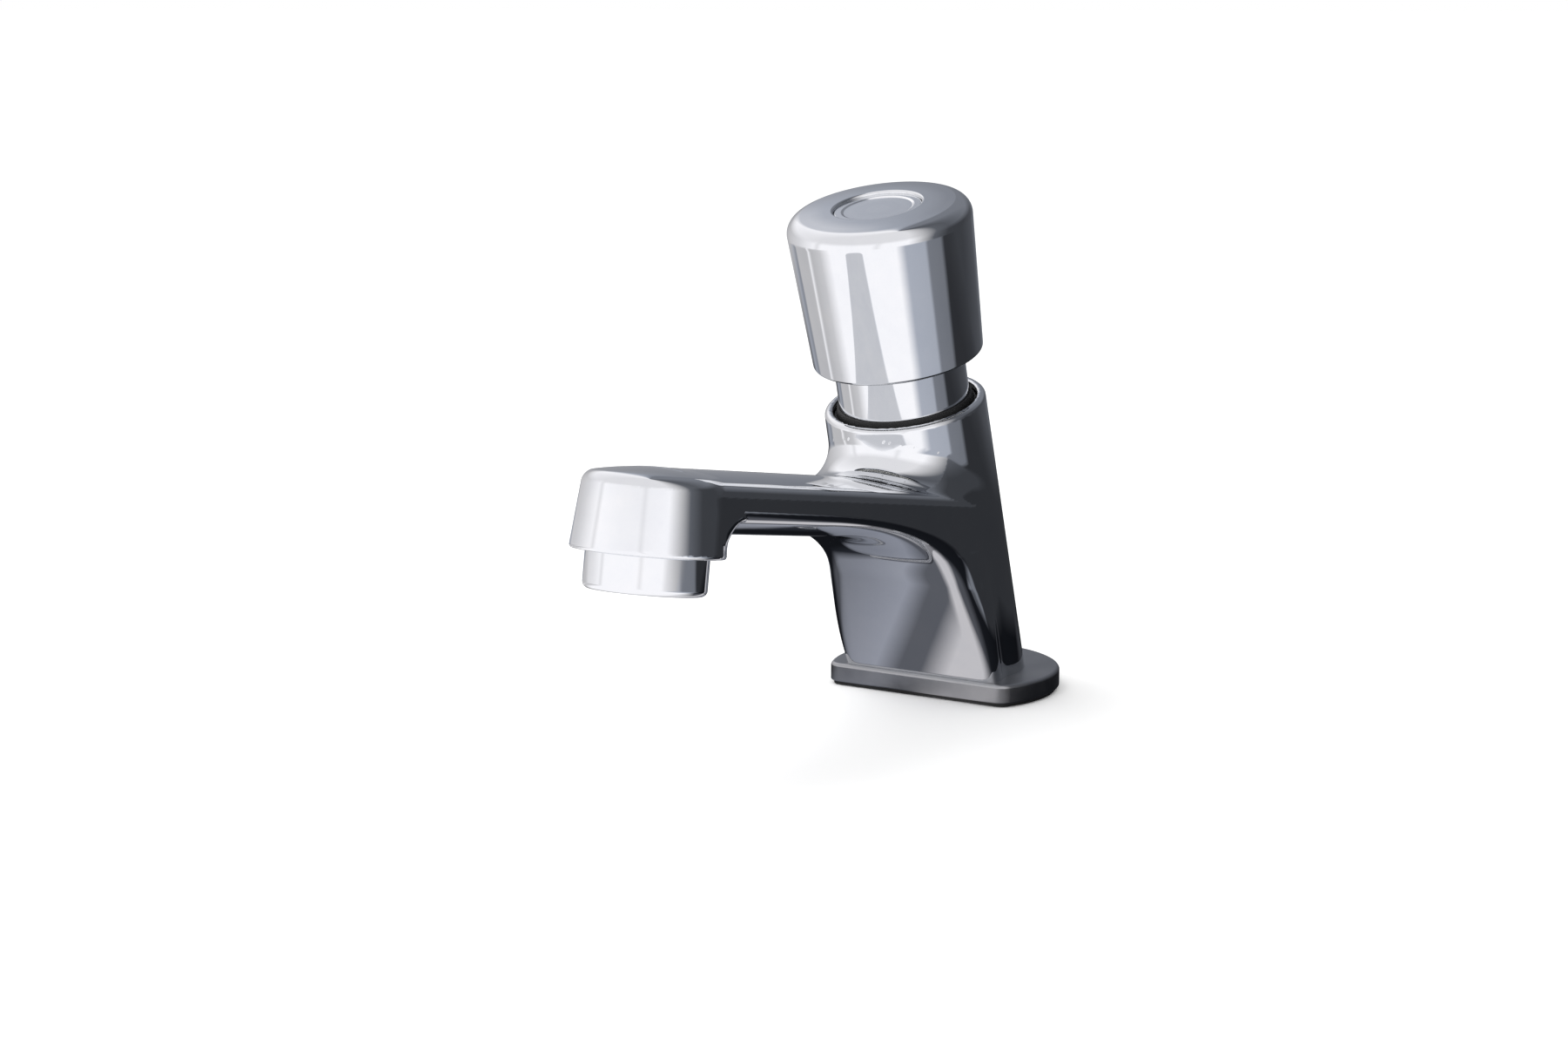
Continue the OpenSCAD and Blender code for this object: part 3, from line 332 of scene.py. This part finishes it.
def casting(p):
    """Distance outside the casting: column, spout and leg, and head joined with hollows that open where faces cross
    and close where they run on, less the bores."""
    x, y, z = np.abs(p[..., 0]), p[..., 1], p[..., 2]
    up, deep = z * np.cos(LEAN) - y * np.sin(LEAN), y * np.cos(LEAN) + z * np.sin(LEAN)
    back = (y + REACH) * np.cos(TILT) - (z - HEAD_Z) * np.sin(TILT)
    drop = (y + REACH) * np.sin(TILT) + (z - HEAD_Z) * np.cos(TILT)
    round_up, round_head = np.hypot(x, deep), np.hypot(x, back)

    # The column, and the bar of spout and leg: two widths that run into each other, flanks that close in on the
    # column, and a crowned top.
    half = SPOUT_HALF + SPOUT_FLARE * back
    under = underside(x, y, z, drop, np.maximum(half, SPOUT_HALF))
    column = meet(round_up - (COLUMN_R - COLUMN_TAPER * up), up - COLUMN_TOP, 1.2)
    leg_half = LEG_HALF - LEG_TAPER * (z - FOOT_Z) - LEG_FADE * np.maximum(z - LEG_FADE_Z, 0)
    width = 0.5 * (half + leg_half + np.sqrt((half - leg_half) ** 2 + 1.4))
    flank = ((x - FLANK_X) * FLANK_RUN + deep * FLANK_IN) / FLANK_LEN
    sides = np.maximum(x - width, flank) + np.maximum(1.6 - np.abs(x - width - flank), 0) ** 2 / 6.4
    crest = (drop - CROWN_LIFT + CROWN_H * (x / half) ** 2) / np.hypot(1, 2 * CROWN_H * x / half ** 2)
    edge_r = 2.4
    bar = np.maximum(np.maximum(meet(sides, crest, edge_r, 2.3), deep), -back)

    # The head: a cone under a shallow dome.
    cone = (round_head - HEAD_R + 1.6 * drop / 15) * 0.994
    dome = np.sqrt(x ** 2 + back ** 2 + (drop + HEAD_DOME_R - CROWN_LIFT) ** 2) - HEAD_DOME_R
    head = meet(meet(cone, dome, 2.0), -drop - HEAD_H, 0.8)

    # Column and bar meet in a hollow. The cosine between their normals is a mix of the bar's top and side.
    on_top, on_side = np.maximum(crest + edge_r, 1e-6), np.maximum(sides + edge_r, 1e-3)
    turn = np.clip(0.5 + (flank - x + width) / 3.2, 0, 1)
    beside = x * (1 - 0.082 * turn) + deep * (0.438 * turn - 0.04)
    along = (0.11 * deep * on_top + beside * on_side) / np.maximum(round_up * np.hypot(on_top, on_side), 1e-6)
    hollow_r = 9.0 - 1.5 * step(-z, -42, -20)
    body = join(column, bar, hollow_r, np.clip(along, -0.9, 0.995))
    soft = 0.01 + step(z, 34, 44)
    smooth = np.maximum(soft - np.abs(column - bar), 0) ** 2 / (4 * soft)
    body = np.minimum(body, np.minimum(column, bar) - smooth)
    body = meet(body, under, 2.6 + 4.2 * step(-z, -54, -34), 2.7)

    # The web behind the head, hollowed by a quarter of an oval.
    u, v = (round_head - WEB_R) / WEB_WIDE, (drop + HEAD_H) / WEB_TALL
    oval = np.maximum(np.hypot(u, v), 1e-6)
    web = (1 - oval) * oval / np.maximum(np.hypot(u / WEB_WIDE, v / WEB_TALL), 1e-6)
    web = np.maximum(np.maximum(web, round_head - WEB_R), np.abs(drop + 9.7) - 7)
    body = join(np.minimum(body, np.maximum(meet(web, x - width, 1.2), -back)), head, 0.5, 0.0)

    # Bores on the push axis as (radius, floor), on shank and outlet as (radius, roof), and the spout's waterway.
    push_bores = (17.4, 73.5), (16.55, 58), (15, 46), (12.95, 42), (9.5, 24.1), (5, 17.5)
    bores = [np.maximum(round_up - r, floor - up) for r, floor in push_bores]
    plumb = np.hypot(x, y)
    bores += [np.maximum(plumb - r, z - roof) for r, roof in ((10.53, 15.5), (7.6, 19.5))]
    bores += [np.maximum(round_head - r, drop - roof) for r, roof in ((12.1, -8.2), (10.6, -2.6))]
    bores += [np.maximum(np.maximum(x - 8, np.abs(drop + 5.4) - 2.8), np.abs(back - 50) - 50)]
    hollow = np.minimum.reduce(bores)
    return np.maximum(meet(body, -hollow, 0.45), 5.1 - z)


def slope_of(distance, p, e=0.03):
    """Gradient of a distance function by central differences."""
    steps = np.eye(3) * e
    return np.stack([distance(p + d) - distance(p - d) for d in steps], -1) / (2 * e)


def skin_of(distance, low, high, pitch):
    """Net over the zero of a distance function: a corner in each grid cell that the zero crosses, a face across each
    grid edge whose ends lie on two sides of it; the corners are evened out and then slid down the slope onto the
    zero."""
    axes = [np.arange(a, b, pitch) for a, b in zip(low, high)]
    slabs = [np.stack(np.meshgrid(part, axes[1], axes[2], indexing="ij"), -1) for part in np.array_split(axes[0], 8)]
    solid = np.concatenate([distance(slab) < 0 for slab in slabs])
    n = np.array(solid.shape) - 1
    count = sum(solid[i:n[0] + i, j:n[1] + j, k:n[2] + k].astype(np.int8)
                for i, j, k in itertools.product((0, 1), repeat=3))
    crossed = (count > 0) & (count < 8)
    number = np.cumsum(crossed).reshape(crossed.shape) - 1
    corners = np.array([a[0] for a in axes]) + (np.argwhere(crossed) + 0.5) * pitch
    faces = []
    for axis in range(3):
        ends = np.moveaxis(solid, axis, 0)
        cells = np.moveaxis(number, axis, 0)
        leaves, enters = ends[:-1] & ~ends[1:], ~ends[:-1] & ends[1:]
        leaves, enters = (enters, leaves) if axis == 1 else (leaves, enters)
        for cut, order in ((leaves, (0, 1, 2, 3)), (enters, (3, 2, 1, 0))):
            i, j, k = np.argwhere(cut[:, 1:-1, 1:-1]).T
            ring = [cells[i, j, k], cells[i, j + 1, k], cells[i, j + 1, k + 1], cells[i, j, k + 1]]
            faces.append(np.stack([ring[o] for o in order], -1))
    faces = np.concatenate(faces)
    for evened in (False, True, True, False, False):
        if evened:
            total, share = np.zeros_like(corners), np.zeros(len(corners))
            for turn in (1, -1):
                np.add.at(total, faces.ravel(), corners[np.roll(faces, turn, 1).ravel()])
                np.add.at(share, faces.ravel(), 1)
            corners = 0.5 * corners + 0.5 * total / share[:, None]
        for _ in range(2):
            g = slope_of(distance, corners)
            move = (distance(corners) / np.maximum((g ** 2).sum(-1), 0.2))[:, None] * g
            corners = corners - np.clip(move, -0.4, 0.4)
    g = slope_of(distance, corners)
    return corners, g / np.linalg.norm(g, axis=1, keepdims=True), faces


# Chrome plate: a cool bright mirror. The buffing wheel leaves it faintly wavy over 15 mm or so, hands and water leave
# smears a centimetre wide, and dried drops leave dull spots of a millimetre or two.
chrome, tree, shader = finish("chrome_plate", Metallic=1.0)
place = place_in(tree)
wave = noise(tree, place, 60.0, 1.0)
smear = noise(tree, place, 90.0, 5.0, Roughness=0.65)
drops = add(tree, "TexVoronoi", {"Vector": place, "Scale": 240.0, "Randomness": 1.0}).outputs["Distance"]
spot = add(tree, "MapRange", {"Value": drops, 1: 0.22, 2: 0.1, 3: 0.0, 4: 0.02}).outputs[0]
dull = add(tree, "Math", {0: spread(tree, smear, 0.025, 0.05), 1: spot}, operation="ADD").outputs[0]
buffed = add(tree, "Bump", {"Height": wave, "Strength": 0.12, "Distance": 0.0006}).outputs[0]
wire(tree, shader, Base_Color=tint(tree, smear, "#dcdee2", "#e0e2e5", "#e4e5e7"), Roughness=dull, Normal=buffed)

points, normals, faces = skin_of(casting, (-25.5, -143, 4), (25.5, 24, 80), 0.6)
piece("body_casting", points, normals, faces.tolist(), chrome, "tap", "chrome_casting", "tap_body")


# Cartridge: the brass seat and sleeve, the acetal guide and their rubber rings, stacked on the push axis
# inside the column, and the stainless coil that stands on the guide and lifts the piston.

# Acetal: a natural white plastic, faintly clouded, half dull from the tool.
acetal, tree, shader = finish("acetal", IOR=1.48)
cloud = noise(tree, place_in(tree), 140.0, 3.0)
wire(tree, shader, Base_Color=tint(tree, cloud, "#d9d8d2", "#e6e5e0"), Roughness=spread(tree, cloud, 0.32, 0.46))
wear(brass, "valve_seat", "cartridge_sleeve")
wear(rubber, "seat_o_ring", "sleeve_o_ring", "guide_o_ring")
wear(acetal, "stem_guide")

PUSH = np.array([0, -np.sin(LEAN), np.cos(LEAN)])
DEEP = np.array([0, np.cos(LEAN), np.sin(LEAN)])
SIDE = np.array([1.0, 0, 0])


def coil(turns=6, wire=0.65, radius=7.2, foot=60.4, length=21.0, sides=14):
    """A round wire carried up a helix: centre = radius (cos a, sin a) with a height that rises evenly with a."""
    a = np.linspace(0, 2 * np.pi * turns, 64 * turns)
    b = np.linspace(0, 2 * np.pi, sides, endpoint=False)
    rise = foot + wire + 0.05 + (length - 2 * wire - 0.1) * a / a[-1]
    ring = np.cos(a)[:, None] * SIDE + np.sin(a)[:, None] * DEEP
    n = np.cos(b)[None, :, None] * ring[:, None] + np.sin(b)[None, :, None] * PUSH
    p = radius * ring[:, None] + rise[:, None, None] * PUSH + wire * n
    index = np.arange(len(a) * sides).reshape(len(a), sides)
    faces = net(index, along=False)[:, ::-1].tolist() + [index[0].tolist(), index[-1][::-1].tolist()]
    return p.reshape(-1, 3), n.reshape(-1, 3), faces


spring = piece("coil_spring", *coil(), stainless, "tap", "stainless", "return_spring")
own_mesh(spring)


# Bonnet: the turned neck that screws into the column, chromed where it shows, with the black dust ring round its
# foot and the acetal bush and rubber wiper that guide the stem in its top.
def rounded(corners, closed):
    """Points and outward normals of a profile of (radius, height, rounding), every corner replaced by an arc.
    The solid is on the left of the way round, so a normal is the way turned right."""
    spot, r = np.array(corners, float)[:, :2], np.array(corners, float)[:, 2]
    found = []
    for k in range(len(spot)):
        if not closed and k in (0, len(spot) - 1):
            way = spot[1] - spot[0] if k == 0 else spot[-1] - spot[-2]
            found.append([[*spot[k], way[1] / np.hypot(*way), -way[0] / np.hypot(*way)]])
            continue
        come, go = spot[k] - spot[k - 1], spot[(k + 1) % len(spot)] - spot[k]
        come, go = come / np.hypot(*come), go / np.hypot(*go)
        bend = np.arctan2(come[0] * go[1] - come[1] * go[0], come @ go)
        side = np.sign(bend)
        start = spot[k] - come * r[k] * np.tan(abs(bend) / 2)
        normal = np.array([come[1], -come[0]])
        f = np.linspace(0, bend, 3 + int(abs(bend) * (3 + 2 * r[k])))
        n = np.stack([np.cos(f) * normal[0] - np.sin(f) * normal[1], np.sin(f) * normal[0] + np.cos(f) * normal[1]], -1)
        found.append(np.concatenate([start - side * r[k] * normal + side * r[k] * n, n], 1))
    found = np.concatenate(found)
    return found[:, :2], found[:, 2:]


def turned(corners, closed=True, count=180, origin=(0, 0, 0), axis=PUSH, deep=DEEP):
    """A turned piece: each profile point (r, h) spun as origin + r (cos t side + sin t deep) + h axis."""
    flat, way = rounded(corners, closed)
    t = np.linspace(0, 2 * np.pi, count, endpoint=False)
    ring = np.cos(t)[:, None] * SIDE + np.sin(t)[:, None] * deep
    p = np.array(origin) + flat[:, None, :1] * ring + flat[:, None, 1:] * axis
    n = way[:, None, :1] * ring + way[:, None, 1:] * axis
    index = np.arange(len(flat) * count).reshape(len(flat), count)
    faces = net(index, along=closed).tolist()
    if not closed:
        faces = net(index[1:-1], along=False).tolist()
        fans = np.stack([index[1], np.roll(index[1], -1), np.full(count, index[0, 0])], -1)[:, ::-1].tolist()
        faces += fans + np.stack([index[-2], np.roll(index[-2], -1), np.full(count, index[-1, 0])], -1).tolist()
        keep = np.ones(index.shape, bool)
        keep[0, 1:] = keep[-1, 1:] = False
        fresh = np.cumsum(keep.ravel()) - 1
        faces = [fresh[f].tolist() for f in faces]
        return p.reshape(-1, 3)[keep.ravel()], n.reshape(-1, 3)[keep.ravel()], faces
    return p.reshape(-1, 3), n.reshape(-1, 3), faces


neck = [(12.95, 58, 0.2), (16.5, 58, 0.4), (16.5, 73.5, 0.2), (15.7, 73.5, 0.2), (15.7, 102.7, 0.8), (8.05, 102.7, 0.3),
        (8.05, 101.3, 0.1), (6.05, 101.3, 0.1), (6.05, 98.7, 0.2), (12.95, 98.7, 0.3)]
piece("bonnet_neck", *turned(neck), chrome, "tap", "chrome_turned", "bonnet")
# The black rubber lip stands proud up to 77.2 mm so that, besides being the dust ring, it paints the dark shade band of
# the gap at the neck's foot.
lip = [(15.75, 73.5, 0.1), (17.3, 73.5, 0.1), (17.3, 75, 0.3), (16.6, 75.1, 0.3), (16.25, 77.2, 0.2),
       (15.75, 77.2, 0.1)]
piece("dust_lip_and_painted_shade", *turned(lip), rubber, "tap", "black_rubber", "dust_ring")
wear(acetal, "stem_bush")
wear(rubber, "stem_wiper")


# Aerator: a turned and chromed shell screwed up into the spout head on a rubber washer, with a ribbed acetal insert
# behind a stainless screen.
OUTLET = np.array([0, np.sin(TILT), np.cos(TILT)])
ASTERN = np.array([0, np.cos(TILT), -np.sin(TILT)])
shell = [(9.6, -25.3, 0.3), (13.4, -25.3, 1.4), (13.4, -17, 0.3), (12.05, -17, 0.2), (12.05, -9.6, 0.3),
         (10.6, -9.6, 0.2), (10.6, -24.3, 0.2), (9.6, -24.3, 0.2)]
piece("aerator_ring", *turned(shell, origin=(0, -REACH, HEAD_Z), axis=OUTLET, deep=ASTERN),
      chrome, "tap", "chrome_turned", "aerator_shell")
wear(rubber, "aerator_washer")
wear(acetal, "aerator_core")
wear(stainless, "aerator_screen")


# Push button: a turned and chromed cap with a plain disc in its top, held on the brass stem by a screw under the disc.
# It slides on the neck on an acetal ring, and the stem carries the timing piston and the valve.
cap = [(18.4, 88.1, 0.3), (20.4, 88.1, 0.8), (22.18, 124.9, 4.0), (14.5, 125.55, 80), (10.5, 125.7, 0.6),
       (10.5, 123.9, 0.2), (4.65, 123.9, 0.2), (4.65, 121.7, 0.1), (2.05, 121.7, 0.1), (2.05, 117.7, 0.1),
       (3.55, 117.7, 0.1), (3.55, 111.7, 0.2), (7, 111.7, 0.4), (7, 120.7, 0.5), (18.4, 120.7, 0.8)]
piece("push_button_cap", *turned(cap, count=240), chrome, "push_button", "chrome_turned", "push_cap")

# Spun aluminium: a blank disc, paler than the chrome and a softer mirror, with rings round its middle that are drawn
# a millimetre and a half apart so that they show.
pale, tree, shader = finish("spun_aluminium", Metallic=1.0)
away = add(tree, "VectorMath", {0: place_in(tree), 1: tuple(PUSH * 0.1246)}, operation="DISTANCE").outputs["Value"]
count = add(tree, "Math", {0: away, 1: 700.0}, operation="MULTIPLY").outputs[0]
rings = add(tree, "TexNoise", {"W": count, "Scale": 1.0, "Detail": 2.0}, noise_dimensions="1D").outputs["Fac"]
wire(tree, shader, Base_Color=tint(tree, rings, "#f0f1f3", "#f6f7f8"), Roughness=spread(tree, rings, 0.13, 0.19))
disc = [(0, 123.9, 0), (10.45, 123.9, 0.2), (10.45, 125.0, 0.35), (8.6, 125.0, 0.6), (8.2, 124.75, 0.6),
        (0, 124.7, 0)]
piece("blank_disc", *turned(disc, closed=False), pale, "push_button", "chrome_turned", "cap_disc")
wear(stainless, "cap_screw")
wear(acetal, "cap_guide_ring", "piston")
wear(brass, "push_stem", "metering_screw", "valve_disc", "valve_nut")
wear(rubber, "piston_seal", "valve_washer")


# Studio: a pale deck and a white background, one large soft lamp, and a glowing surround that only shows in the metal
# as painted
# reflections: white in front, grey to its left, dark to the right and behind, laid out as a photographer sets cards for
# chrome.
def sheet(name, points, faces, material):
    """A plain mesh of the stage."""
    mesh = bpy.data.meshes.new(name)
    mesh.from_pydata(np.asarray(points).tolist(), [], faces)
    mesh.materials.append(material)
    made = bpy.data.objects.new(name, mesh)
    scene.collection.objects.link(made)
    return made


def bearing(tree):
    """Where a point of the stage lies seen from the tap: its bearing in degrees, 0 in front of the spout and 90 to its
    right, its distance, and its height over that distance."""
    place = place_in(tree)
    way = add(tree, "SeparateXYZ", {"Vector": place}).outputs
    ahead = add(tree, "Math", {0: way[1], 1: -1.0}, operation="MULTIPLY").outputs[0]
    angle = add(tree, "Math", {0: way[0], 1: ahead}, operation="ARCTAN2").outputs[0]
    degrees = add(tree, "Math", {0: angle}, operation="DEGREES").outputs[0]
    far = add(tree, "VectorMath", {0: place}, operation="LENGTH").outputs["Value"]
    return degrees, far, add(tree, "Math", {0: way[2], 1: far}, operation="DIVIDE").outputs[0]


def greys(tree, value, stops):
    """A ramp of greys over a value for the painted reflections, the dark ones a little blue."""
    dark, light = np.array([0.92, 0.97, 1.1]), np.array([1, 0.985, 1])
    return ramp(tree, value, [(at, (*(grey * (dark if grey < 0.5 else light)), 1)) for at, grey in stops])


def blend(tree, share, a, b, how="MIX"):
    """Two colours mixed by a share."""
    return add(tree, "Mix", {0: share, 6: a, 7: b}, data_type="RGBA", blend_type=how).outputs[2]


# Painted reflection greys that the metal finds at each bearing: first low down beside the deck, then at eye level, then
# overhead.
LOW = [(-180, 0.03), (-128, 0.05), (-114, 0.35), (-102, 0.25), (-98, 0.5), (-72, 0.5), (-69, 0.9), (-64, 0.5),
       (-48, 0.6), (-32, 1.0), (46, 1.0), (58, 0.45), (84, 0.42), (88, 0.2), (108, 0.18), (114, 0.03), (180, 0.03)]
LEVEL = [(-180, 0.08), (-150, 0.2), (-120, 0.5), (-85, 0.7), (-58, 0.95), (-52, 0.8), (-46, 1.0), (18, 1.0),
         (24, 0.85), (30, 1.0), (62, 1.0), (80, 0.55), (97, 0.12), (120, 0.05), (150, 0.05), (180, 0.08)]
OVERHEAD = [(-180, 0.2), (-150, 0.2), (-141, 0.4), (-128, 0.95), (-100, 0.87), (-60, 0.78), (60, 0.78), (80, 0.5),
            (100, 0.12), (120, 0.1), (180, 0.2)]
# Close by, the deck paints a dark reflection in the metal. In front of the leg it paints two soft patches of highlight:
# CLOSE is grey over metres to the right, and SHOWN is the share of it that shows at each bearing.
CLOSE = [(-0.045, 0.08), (-0.036, 0.2), (-0.016, 0.32), (-0.009, 0.11), (-0.003, 0.11), (0.005, 0.55),
         (0.018, 0.55), (0.03, 0.08)]
SHOWN = [(-180, 0.06), (-78, 0.1), (-58, 1.0), (45, 1.0), (65, 0.12), (180, 0.06)]
PAINTED_REFLECTION_LIGHT = 1.24

deck, tree, shader = finish("pale_deck_and_painted_reflections", Roughness=0.6, Specular_IOR_Level=0.0)
place = place_in(tree)
wire(tree, shader, Base_Color=tint(tree, noise(tree, place, 8.0, 2.0), "#fcfcfc", "#fefefe"))
degrees, far, _ = bearing(tree)
across = add(tree, "SeparateXYZ", {"Vector": place}).outputs[0]
# Painted reflections: glossy rays see the deck glow with these greys, not its own pale shade; the camera sees the pale
# deck.
deck_painted_reflection = blend(tree, 1.0, greys(tree, across, CLOSE), greys(tree, degrees, SHOWN), "MULTIPLY")
for stops, begin, end in ((LOW, 0.09, 0.14), (LEVEL, 0.4, 0.7)):
    beyond = add(tree, "MapRange", {"Value": far, 1: begin, 2: end}).outputs[0]
    deck_painted_reflection = blend(tree, beyond, deck_painted_reflection, greys(tree, degrees, stops))
painted_reflection_glow = add(tree, "Emission", {"Color": deck_painted_reflection, "Strength": PAINTED_REFLECTION_LIGHT}).outputs[0]
in_metal = add(tree, "LightPath", {}).outputs["Is Glossy Ray"]
both = add(tree, "MixShader", {0: in_metal, 1: shader.outputs[0], 2: painted_reflection_glow}).outputs[0]
tree.links.new(both, tree.nodes["Material Output"].inputs["Surface"])
corners = [(x, y, -2e-4) for x, y in ((-40, -40), (40, -40), (40, 40), (-40, 40))]
sheet("deck_floor", corners, [(0, 1, 2, 3)], deck)

surround, tree, shader = finish("painted_reflection_surround")
tree.nodes.remove(shader)
degrees, _, height = bearing(tree)
rise = add(tree, "MapRange", {"Value": height, 1: 0.25, 2: 0.5}).outputs[0]
whole = blend(tree, rise, greys(tree, degrees, LEVEL), greys(tree, degrees, OVERHEAD))
painted_reflection_glow = add(tree, "Emission", {"Color": whole, "Strength": PAINTED_REFLECTION_LIGHT}).outputs[0]
tree.links.new(painted_reflection_glow, tree.nodes["Material Output"].inputs["Surface"])
around = np.linspace(0, 2 * np.pi, 64, endpoint=False)
rows, columns = np.meshgrid(np.linspace(-0.1, np.pi / 2 - 0.01, 25), around, indexing="ij")
ball = 3.0 * np.stack([np.cos(rows) * np.cos(columns), np.cos(rows) * np.sin(columns), np.sin(rows)], -1)
faces = net(np.arange(rows.size).reshape(rows.shape), along=False)
room = sheet("painted_reflection_surround", ball.reshape(-1, 3), faces.tolist(), surround)
# The surround glows only for glossy rays, so it paints reflections in the metal and lights nothing else.
room.visible_camera = room.visible_diffuse = room.visible_shadow = room.visible_transmission = False

world = bpy.data.worlds.new("studio_white")
world.use_nodes = True
scene.world = world
tree = world.node_tree
ray = add(tree, "LightPath", {}).outputs
seen = add(tree, "Math", {0: ray["Is Camera Ray"], 1: ray["Is Glossy Ray"]}, operation="MAXIMUM").outputs[0]
seen = add(tree, "Math", {0: seen, 1: ray["Is Transmission Ray"]}, operation="MAXIMUM").outputs[0]
strength = add(tree, "MapRange", {"Value": seen, 3: 1.05, 4: 1.0}).outputs[0]
sky = tree.nodes["Background"]
sky.inputs["Color"].default_value = (1, 1, 1, 1)
tree.links.new(strength, sky.inputs["Strength"])

lamp = bpy.data.objects.new("soft_lamp", bpy.data.lights.new("soft_lamp", "AREA"))
lamp.data.shape, lamp.data.size, lamp.data.size_y, lamp.data.energy = "RECTANGLE", 1.2, 1.2, 12.0
lamp.location = (-0.7, -0.6, 1.3)
lamp.rotation_mode = "QUATERNION"
lamp.rotation_quaternion = (Vector((0, -0.05, 0.05)) - lamp.location).to_track_quat("-Z", "Y")
lamp.visible_glossy = False
scene.collection.objects.link(lamp)

# Camera: where the photograph was taken from, 33 degrees to the right of the spout and a little above the tap.
azimuth, elevation = np.radians([33.2, 9.74])
behind = Vector((np.sin(azimuth) * np.cos(elevation), -np.cos(azimuth) * np.cos(elevation), np.sin(elevation)))
camera = bpy.data.objects.new("camera", bpy.data.cameras.new("camera"))
camera.data.lens, camera.data.sensor_width, camera.data.sensor_fit = 69.96, 36.0, "HORIZONTAL"
camera.data.clip_start = 0.01
camera.location = (0.3731, -0.6433, 0.1685)
camera.rotation_mode = "QUATERNION"
camera.rotation_quaternion = (-behind).to_track_quat("-Z", "Y")
scene.collection.objects.link(camera)
scene.camera = camera
scene.view_settings.view_transform = "Standard"
